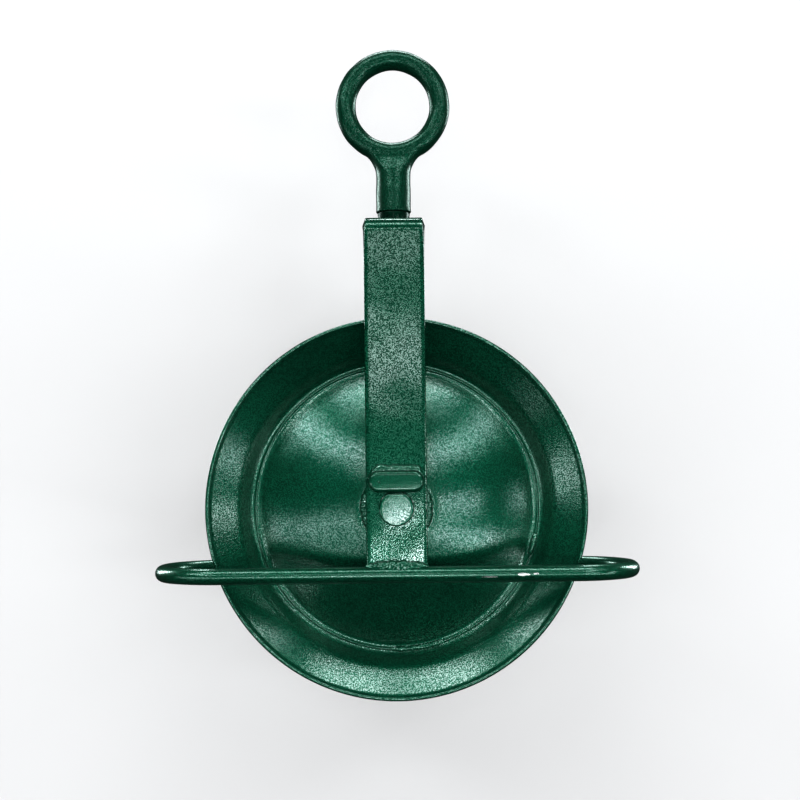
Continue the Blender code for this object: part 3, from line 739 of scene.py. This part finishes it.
def buildHub(paint, steel, bushing):
    d = hubSet
    for node, name, bore, material in (("hub_tube", "hubTube", d["tubeBore"], paint),
                                       ("hub_bush", "hubBush", d["bushBore"], bushing),
                                       ("front_axle_washer", "frontSpacer", d["washerBore"], steel),
                                       ("rear_axle_washer", "rearSpacer", d["washerBore"], steel)):
        low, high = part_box(node)
        profile = washerProfile(bore, high.x, low.y, high.y, d["edge"])
        finishPiece(name, turned(profile, 112, "Y", wheelCentre), node, material)


axlePin = {
    "chamfer": 0.0009, "flatHeight": 0.0093, "flatStart": 0.0398, "dome": 0.00005,
    "sideStart": 0.0018, "sideStep": 0.0012,
    "sawnSlope": (0.0175, -0.0165),    # the ends were sawn a little out of square
}


def buildAxlePin(paint):
    d = axlePin
    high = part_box("axle_pin")[1]
    radius, half = high.x, high.y
    face = radius - d["chamfer"]
    profile = []
    for k in range(11):
        r = face * k / 10
        profile.append((r, half - d["dome"] * (k / 10) ** 2))
    for k in range(1, 6):
        a = math.radians(90 - 18 * k)
        profile.append((face + d["chamfer"] * math.cos(a),
                        half - d["dome"] - d["chamfer"] * (1 - math.sin(a))))
    for k in range(1, 6):
        profile.append((radius, half - d["sideStart"] - d["sideStep"] * k))
    profile += [(radius, 0.0)] + [(r, -h) for r, h in profile[::-1]]
    bm = turned(profile, 128, "Y", wheelCentre, closed=False)
    pin = finishPiece("axlePin", bm, "axle_pin", paint)
    slopeX, slopeZ = d["sawnSlope"]
    deepest = radius * math.hypot(slopeX, slopeZ)
    for vert in pin.data.vertices:
        if abs(vert.co.y) > half - d["chamfer"]:
            back = slopeX * vert.co.x + slopeZ * (vert.co.z - wheelCentre.z) + deepest
            vert.co.y -= math.copysign(back, vert.co.y)
    for side in (-1, 1):
        near, far = sorted((side * d["flatStart"], side * (half + 0.01)))
        mill(pin, (-0.02, near, wheelCentre.z + d["flatHeight"]), (0.02, far, wheelCentre.z + 0.02))


# keepers: plates with round ends, softened all round by the paint
keeperPlate = {
    "round": 0.0026, "crown": 0.00004, "inset": 0.0002,
    "nib": (-0.0112, -0.0002), "nibSink": 0.0003, "nibSizes": (0.0010, 0.0008, 0.0010),
}


def buildKeeper(name, node, side, paint):
    d = keeperPlate
    low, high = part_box(node)
    radius = (high.z - low.z) / 2
    reach = high.x - radius
    middle = (high.z + low.z) / 2
    near, far = (low.y, high.y) if side == 1 else (-high.y, -low.y)
    insets = [(0.0, near + d["inset"]), (0.0, near + (far - near) * 0.35)]
    for k in range(9):
        a = math.radians(90 * k / 8)
        insets.append((d["round"] * (1 - math.cos(a)), far - d["round"] * (1 - math.sin(a))))
    for k in range(1, 9):
        s = k / 8
        insets.append((d["round"] + (radius - d["inset"] - d["round"]) * s,
                       far + d["crown"] * math.sin(math.pi / 2 * s)))
    rings = []
    for inset, y in insets:
        ring = []
        r = radius - inset
        for end in (1, -1):
            for k in range(25):
                a = -math.pi / 2 + math.pi * k / 24
                x, z = end * (reach + r * math.cos(a)), middle + end * r * math.sin(a)
                ring.append(Vector((x, side * y, z)))
            for k in range(1, 20):
                ring.append(Vector((end * reach * (1 - k / 10), side * y, middle + end * r)))
        rings.append(ring)
    bm = skin(rings)
    x, z = d["nib"]
    addBlob(bm, (x * -side, side * (far - d["nibSink"]), middle + z), d["nibSizes"], 3.0, 0.1)
    finishPiece(name, bm, node, paint, sharp=60.0)


# weld beads: rows of frozen ripples with the odd drop beside them
bead = {"height": 0.88, "ripple": 0.04, "slow": 0.30, "quick": 0.07, "drift": 0.35}


def ripples(t, seed, count):
    # steep on one side of each ripple, with slow and quick changes of size
    phase = (t * count + bead["drift"] * chance((t * 9.0, seed, 0.0))) % 1.0
    ripple = math.sin(math.pi * phase ** 0.7)
    slow = chance((t * 5.0 + seed, seed * 2.0, 1.0))
    quick = chance((t * 21.0, seed * 3.0, 2.0))
    return bead["height"] + bead["ripple"] * ripple + bead["slow"] * slow + bead["quick"] * quick


footWeld = {
    "half": 0.0205, "rise": 0.0048, "bow": 0.0013, "steps": 190, "count": 8,
    "swing": (14.0, 36.0),    # degrees down the rod of a thin bead and what full height adds
    "lumps": 0.00085, "lumpSize": 0.0028, "deepest": -0.0003,
    # spatter and burst bubbles where the torch stopped: place and size
    "spatter": [(-0.0012, 0.0408, -0.3106, 0.0013), (-0.0015, 0.0420, -0.3150, 0.0021),
                (0.0062, 0.0436, -0.3162, 0.0017), (0.0088, 0.0428, -0.3140, 0.0012),
                (-0.0075, 0.0424, -0.3143, 0.0013)],
}
keeperWeld = {
    "half": 0.0196, "rise": 0.0052, "leastRise": 0.0012, "depth": 0.0034, "leastDepth": 0.0009,
    "steps": 190, "count": 7, "lumps": 0.0002, "lumpSize": 0.0030,
}


def buildFootWeld(name, node, side, seed, paint):
    d = footWeld
    rodLow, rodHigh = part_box("guard_loop")
    rod = (rodHigh.z - rodLow.z) / 2
    rodY, rodZ = rodHigh.y - rod, (rodHigh.z + rodLow.z) / 2
    strapLow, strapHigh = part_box("frame_strap")
    face, foot = strapHigh.y + gap * 0.4, strapLow.z
    around = rod + gap * 0.3
    rings = []
    for k in range(d["steps"] + 1):
        t = k / d["steps"]
        x = d["half"] * (2 * t - 1)
        ends = math.sin(math.pi * min(max(t, 0.015), 0.985)) ** 0.6
        lump = ends * ripples(t, seed, d["count"])
        thin, more = d["swing"]
        swing = math.radians(thin + more * min(lump, 1.15))
        uneven = 0.75 + 0.35 * chance((t * 11, seed, 4))
        top = foot + d["rise"] * min(lump, 1.2) * uneven
        endY, endZ = rodY + around * math.sin(swing), rodZ + around * math.cos(swing)
        points = [(face, foot - 0.00005)] + [(face, foot + (top - foot) * s) for s in (0.5, 1.0)]
        for n in range(1, 12):
            s = n / 12
            bow = d["bow"] * lump * math.sin(math.pi * s)
            points.append((face + (endY - face) * s ** 0.8 + bow, top + (endZ - top) * s ** 1.15 + bow))
        for n in range(10):
            a = swing * (1 - 0.78 * n / 9)
            points.append((rodY + around * math.sin(a), rodZ + around * math.cos(a)))
        rings.append([Vector((x, side * y, z)) for y, z in points])
    bm = skin(rings)
    bm.normal_update()
    for vert in bm.verts:
        if abs(vert.co.y) > face + 0.0004:
            push = d["lumps"] * wave(vert.co, d["lumpSize"], seed)
            vert.co += Vector((0, side, 0.3)) * max(push, d["deepest"])
    for x, y, z, size in d["spatter"]:
        addBlob(bm, (x, side * y, z), (size * 1.3, size * 0.7, size), seed + x * 100, 0.5)
    finishPiece(name, bm, node, paint, sharp=70.0)


def buildKeeperWeld(name, node, side, seed, paint):
    d = keeperWeld
    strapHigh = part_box("frame_strap")[1]
    keeperLow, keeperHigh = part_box("front_keeper")
    radius = (keeperHigh.z - keeperLow.z) / 2 + gap
    reach = keeperHigh.x - (keeperHigh.z - keeperLow.z) / 2
    face = strapHigh.y + gap * 0.5
    rings = []
    for k in range(d["steps"] + 1):
        t = k / d["steps"]
        x = d["half"] * (2 * t - 1)
        over = max(0.0, abs(x) - reach)
        drop = radius - math.sqrt(max(radius ** 2 - over ** 2, (radius * 0.28) ** 2))
        low = keeperHigh.z + gap * 0.6 - drop
        ends = min(1.0, math.sin(math.pi * min(max(t, 0.012), 0.988)) * 3.2)
        lump = ends * ripples(t, seed, d["count"])
        rise = d["leastRise"] + (d["rise"] - d["leastRise"]) * min(lump, 1.1)
        rise *= 1 - 0.35 * drop / radius
        rise *= 0.80 + 0.5 * chance((t * 6.0, seed, 7.0))
        deep = d["leastDepth"] + (d["depth"] - d["leastDepth"]) * min(lump, 1.1)
        ring = [Vector((x, side * face, low)), Vector((x, side * face, low + rise))]
        for n in range(1, 13):
            a = math.radians(90 - 90 * n / 13)
            y, z = face + deep * math.cos(a) ** 0.8, low + rise * math.sin(a) ** 0.9
            ring.append(Vector((x, side * y, z)))
        ring.append(Vector((x, side * (face + deep * 0.95), low)))
        rings.append(ring)
    bm = skin(rings)
    for vert in bm.verts:
        if abs(vert.co.y) > face + 0.0003:
            vert.co.y += side * d["lumps"] * (wave(vert.co, d["lumpSize"], seed) - 0.2)
    finishPiece(name, bm, node, paint, sharp=70.0)


hubWeld = {
    "leg": 0.0033, "plain": 0.90, "ripple": 0.10, "slow": 0.14, "steps": 420, "count": 46,
    "lumps": 0.00035, "lumpSize": 0.0035,
}


def buildHubWeld(name, node, side, seed, paint):
    d = hubWeld
    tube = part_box("hub_tube")[1]
    land = pressedDisc["landFace"] + gap * 0.4
    radius = tube.x + gap * 0.3
    rings = []
    for k in range(d["steps"]):
        t = k / d["steps"]
        a = math.tau * t
        phase = (t * d["count"]) % 1.0
        slow = chance((math.cos(a) * 2.5, math.sin(a) * 2.5, seed))
        ripple = math.sin(math.pi * phase ** 0.7)
        leg = d["leg"] * (d["plain"] + d["ripple"] * ripple + d["slow"] * slow)
        top = min(leg, tube.y - land)
        out = Vector((math.cos(a), 0.0, math.sin(a)))
        ring = [wheelCentre + out * radius + Vector((0, side * land, 0))]
        for n in range(10):
            b = math.radians(90 * n / 9)
            ring.append(wheelCentre + out * (radius + leg * math.cos(b) ** 0.85)
                        + Vector((0, side * (land + top * math.sin(b) ** 0.85), 0)))
        rings.append(ring)
    bm = skin(rings, closed=True)
    bm.normal_update()
    for vert in bm.verts:
        if abs(vert.co.y) > land + 0.0003:
            vert.co += vert.normal * d["lumps"] * (wave(vert.co, d["lumpSize"], seed) - 0.5)
    finishPiece(name, bm, node, paint, sharp=70.0)


valleyWelds = {
    "steps": 90, "width": 0.0036, "rise": 0.0012, "lumps": 0.00035, "lumpSize": 0.0022,
    # name, middle and spread in degrees, ripples
    "runs": {"valley_weld_low": ("lowValleyWeld", 82.0, 11.0, 9),
             "valley_weld_side": ("sideValleyWeld", 16.0, 4.5, 4)},
}


def buildValleyWelds(paint):
    d = valleyWelds
    base = pressedDisc["sheet"] + pressedDisc["parting"] + pressedDisc["beadHeight"] + gap * 0.4
    for node, (name, middle, spread, count) in d["runs"].items():
        rings = []
        for k in range(d["steps"] + 1):
            t = k / d["steps"]
            a = math.radians(middle + spread * (2 * t - 1))
            ends = min(1.0, math.sin(math.pi * min(max(t, 0.02), 0.98)) * 3.0)
            lump = ends * ripples(t, middle, count)
            out = Vector((math.cos(a), 0.0, -math.sin(a)))
            half = d["width"] / 2 * (0.45 + 0.6 * lump)
            ring = []
            for n in range(13):
                b = math.pi * n / 12
                rise = d["rise"] * (0.3 + 0.75 * lump) * math.sin(b) ** 0.8
                ring.append(wheelCentre + out * (pressedDisc["valleyRadius"] - half * math.cos(b))
                            + Vector((0, -(base + rise), 0)))
            rings.append(ring)
        bm = skin(rings)
        for vert in bm.verts:
            if vert.co.y < -base - 0.0001:
                vert.co.y -= d["lumps"] * wave(vert.co, d["lumpSize"], middle)
        finishPiece(name, bm, node, paint, sharp=70.0)


# camera at the photograph's angle
cameraPlace = {"spot": (0.003, -0.890, -0.2489), "tilt": 2.91, "roll": -0.63, "lens": 58.5}


def placeCamera():
    data = bpy.data.cameras.new("camera")
    data.lens = cameraPlace["lens"]
    data.sensor_width = 36.0
    camera = addObject("camera", data)
    turn = Matrix.Rotation(math.radians(90 + cameraPlace["tilt"]), 4, "X")
    turn = turn @ Matrix.Rotation(math.radians(cameraPlace["roll"]), 4, "Z")
    camera.matrix_world = Matrix.Translation(cameraPlace["spot"]) @ turn
    scene.camera = camera


# pale sheet behind the wheel, seen from its front only
backdrop = {
    "distance": 0.172,    # clear of the rope guard when it swivels
    "half": 1.4, "fade": (0.6, 1.3), "colour": (0.345, 0.330, 0.329), "glow": 0.75,
}
surround = {"seen": (0.925, 0.93, 0.935), "fill": 0.03}


def buildBackdrop():
    bm = bmesh.new()
    size = backdrop["half"]
    corners = [(-size, -size), (size, -size), (size, size), (-size, size)]
    bm.faces.new([bm.verts.new((x, backdrop["distance"], z + wheelCentre.z)) for x, z in corners])
    sheet = addObject("backdrop", meshFrom("backdrop", bm))
    sheet.visible_shadow = False
    sheet.visible_glossy = False
    material, tree, place = newMaterial("paleSheet")
    tree.nodes.remove(tree.nodes["Principled BSDF"])
    matt = tree.nodes.new("ShaderNodeBsdfDiffuse")
    matt.inputs["Color"].default_value = (*backdrop["colour"], 1.0)
    glow = tree.nodes.new("ShaderNodeEmission")
    glow.inputs["Color"].default_value = (*backdrop["colour"], 1.0)
    glow.inputs["Strength"].default_value = backdrop["glow"]
    both = tree.nodes.new("ShaderNodeAddShader")
    tree.links.new(matt.outputs[0], both.inputs[0])
    tree.links.new(glow.outputs[0], both.inputs[1])
    clear = tree.nodes.new("ShaderNodeBsdfTransparent")
    shift = addVector(tree, "SUBTRACT", place, (0.0, backdrop["distance"], wheelCentre.z))
    edge = addRange(tree, addVector(tree, "LENGTH", shift), *backdrop["fade"])
    behind = tree.nodes.new("ShaderNodeNewGeometry").outputs["Backfacing"]
    share = addMath(tree, "MAXIMUM", edge, behind)
    mix = tree.nodes.new("ShaderNodeMixShader")
    tree.links.new(share, mix.inputs["Fac"])
    tree.links.new(both.outputs[0], mix.inputs[1])
    tree.links.new(clear.outputs[0], mix.inputs[2])
    tree.links.new(mix.outputs[0], tree.nodes["Material Output"].inputs["Surface"])
    sheet.data.materials.append(material)


def setSurround():
    # the camera sees plain pale air; everything else gets a dim fill
    world = bpy.data.worlds.new("surround")
    world.use_nodes = True
    tree = world.node_tree
    tree.nodes.clear()
    seen = tree.nodes.new("ShaderNodeBackground")
    seen.inputs["Color"].default_value = (*surround["seen"], 1.0)
    fill = tree.nodes.new("ShaderNodeBackground")
    fill.inputs["Color"].default_value = (1.0, 1.0, 1.0, 1.0)
    fill.inputs["Strength"].default_value = surround["fill"]
    mix = tree.nodes.new("ShaderNodeMixShader")
    tree.links.new(tree.nodes.new("ShaderNodeLightPath").outputs["Is Camera Ray"], mix.inputs["Fac"])
    tree.links.new(fill.outputs[0], mix.inputs[1])
    tree.links.new(seen.outputs[0], mix.inputs[2])
    tree.links.new(mix.outputs[0], tree.nodes.new("ShaderNodeOutputWorld").inputs["Surface"])
    scene.world = world


# soft boxes seen from the wheel: azimuth and elevation of both ends, thickness, glow
softBoxes = {
    "front": ((-12, 2), (12, 2), 24, 4.0),
    "bandLeft": ((-13, 20), (-34, 27), 8, 12.5),
    "bandFarLeft": ((-34, 27), (-58, 36), 9, 11.5),
    "bandRight": ((14, 20.5), (36, 27), 9, 11.0),
    "bandFarRight": ((36, 27), (58, 37), 10, 8.0),
    "crown": ((-7, 21.5), (7, 21.5), 5, 7.0),
    "roofLeft": ((-48, 53), (-14, 59), 14, 13.0),
    "roof": ((-14, 60), (10, 60), 14, 7.0),
    "roofRight": ((10, 60), (48, 53), 14, 12.5),
    "roofFarLeft": ((-50, 46), (-60, 24), 9, 3.0),
    "roofFarRight": ((54, 44), (62, 24), 8, 1.0),
    "highLeft": ((-34, 42), (-12, 48), 10, 3.0),
    "highRight": ((12, 48), (36, 42), 10, 2.3),
    "railRight": ((18, -1), (40, 0), 5, 15.0),
    "railFarRight": ((58, 0), (72, 0), 8, 9.0),
    "deskRight": ((17, -13), (52, -17), 5, 17.5),
    "deskFarRight": ((54, -18), (72, -16), 6, 9.0),
    "deskLeft": ((-16, -8), (-54, -11), 9, 6.0),
    "deskLowLeft": ((-16, -19), (-50, -21), 7, 3.6),
    "deskFarLeft": ((-57, -12), (-72, -10), 12, 7.0),
    "lowLeft": ((-50, -38), (-60, -30), 6, 3.0),
    "brow": ((-4, 12.6), (4, 12.6), 2.6, 5.5),
    "gaze": ((-4, 6.5), (4, 6.5), 3.2, 8.5),
    "chin": ((-3.6, -13.6), (3.6, -3.5), 3.6, 32.0),
    "deskMiddle": ((-16, -14), (16, -14), 9, 6.5),
}
# a plainer rig for the back, unseen from the front
backBoxes = {
    "backFill": ((-12, 2), (12, 2), 24, 16.0),
    "backLeft": ((-48, 6), (-74, 30), 14, 14.0),
    "backRight": ((48, 6), (74, 30), 14, 14.0),
    "backRoof": ((-45, 58), (45, 58), 14, 16.0),
}
rigDistance = 3.50
lampColour = (0.93, 1.0, 1.02)
unseen = ("front", "backFill")    # these make no streak in the paint
backTurn = 180.0


def wayTo(azimuth, elevation, turn=0.0):
    a, e = math.radians(azimuth + turn), math.radians(elevation)
    return Vector((math.sin(a) * math.cos(e), -math.cos(a) * math.cos(e), math.sin(e)))


def addSoftBox(name, start, end, thick, glow, turn=0.0):
    start, end = wayTo(*start, turn), wayTo(*end, turn)
    way = (start + end).normalized()
    along = (end - start).normalized()
    data = bpy.data.lights.new(name, "AREA")
    data.shape = "RECTANGLE"
    data.size = 2 * rigDistance * math.tan(start.angle(end) / 2)
    data.size_y = 2 * rigDistance * math.tan(math.radians(thick / 2))
    data.energy = glow * math.pi * data.size * data.size_y
    data.color = lampColour
    lamp = addObject(name, data)
    lamp.matrix_world = Matrix((along, way.cross(along), way)).transposed().to_4x4()
    lamp.location = wheelCentre + way * rigDistance
    lamp.visible_glossy = name not in unseen


def lightScene():
    for name, (start, end, thick, glow) in softBoxes.items():
        addSoftBox(name, start, end, thick, glow)
    for name, (start, end, thick, glow) in backBoxes.items():
        addSoftBox(name, start, end, thick, glow, backTurn)


placeCamera()
buildBackdrop()
setSurround()
lightScene()
print("camera, backdrop and", len(softBoxes) + len(backBoxes), "soft boxes placed")

discPaint = makePaint("discPaint")
strapPaint = makePaint("strapPaint", shine=0.3, roughness=0.22, clearRoughness=0.10, waveHeight=0.00001,
                       peelHeight=0.00002, peelBelow=0.00003, nibHeight=0.00004)
# a darker copy of the green paint: painted shade on the ring and shank, which wear the same paint as the
# rest
eyeShadedPaint = makePaint("eyeShadedPaint", colour=(0.0015, 0.034, 0.018), shade=(0.0011, 0.026, 0.013), shine=0.2,
                     clear=(0.0, 0.35), clearRoughness=0.12, waveHeight=0.00002, peelHeight=0.00016)
rodPaint = makePaint("rodPaint", chips=ropeGuard["chips"])
weldPaint = makePaint("weldPaint", waveSize=0.003, waveHeight=0.00008)
keeperPaint = makePaint("keeperPaint", shine=0.3, clear=(0.1, 0.7), waveHeight=0.00001,
                        peelHeight=0.00002)
pinPaint = makePaint("pinPaint", clear=(0.1, 1.0), waveHeight=0.00001, peelHeight=0.00002)
collarShadePaint = makePaint("collarShadePaint", colour=(0.0006, 0.009, 0.005), shade=(0.0003, 0.004, 0.002), shine=0.1,
                      clear=(0.0, 0.15))    # near-black painted shade for the collar, in the gap under the shank's shoulder
steel = makeMetal("bareSteel", bareSteel)
bushing = makeMetal("bushMetal", bushMetal)
print("finishes ready:", len(bpy.data.materials), "materials")

buildHangingEye(eyeShadedPaint)
buildSpigotSet(collarShadePaint, steel)
print("hanging eye and spigot set ready")
buildBentStrap(strapPaint)
buildRopeGuard(rodPaint)
print("strap and rope guard ready")
buildDisc("frontDisc", "front_disc", -1, discPaint)
buildDisc("rearDisc", "rear_disc", 1, discPaint)
buildHub(discPaint, steel, bushing)
buildAxlePin(pinPaint)
print("wheel, hub and axle ready")
buildKeeper("frontKeeper", "front_keeper", -1, keeperPaint)
buildKeeper("rearKeeper", "rear_keeper", 1, keeperPaint)
# the number before the paint gives each bead ripples of its own
buildKeeperWeld("frontKeeperWeld", "front_keeper_weld", -1, 1.1, weldPaint)
buildKeeperWeld("rearKeeperWeld", "rear_keeper_weld", 1, 4.4, weldPaint)
buildFootWeld("frontFootWeld", "front_foot_weld", -1, 0.6, weldPaint)
buildFootWeld("rearFootWeld", "rear_foot_weld", 1, 3.9, weldPaint)
buildHubWeld("frontHubWeld", "front_hub_weld", -1, 1.5, weldPaint)
buildHubWeld("rearHubWeld", "rear_hub_weld", 1, 6.5, weldPaint)
buildValleyWelds(weldPaint)
print("keepers and welds ready")

scene.view_settings.view_transform = "Standard"
scene.view_settings.look = "None"
scene.view_settings.gamma = 0.8    # the deeper shadows of the photo
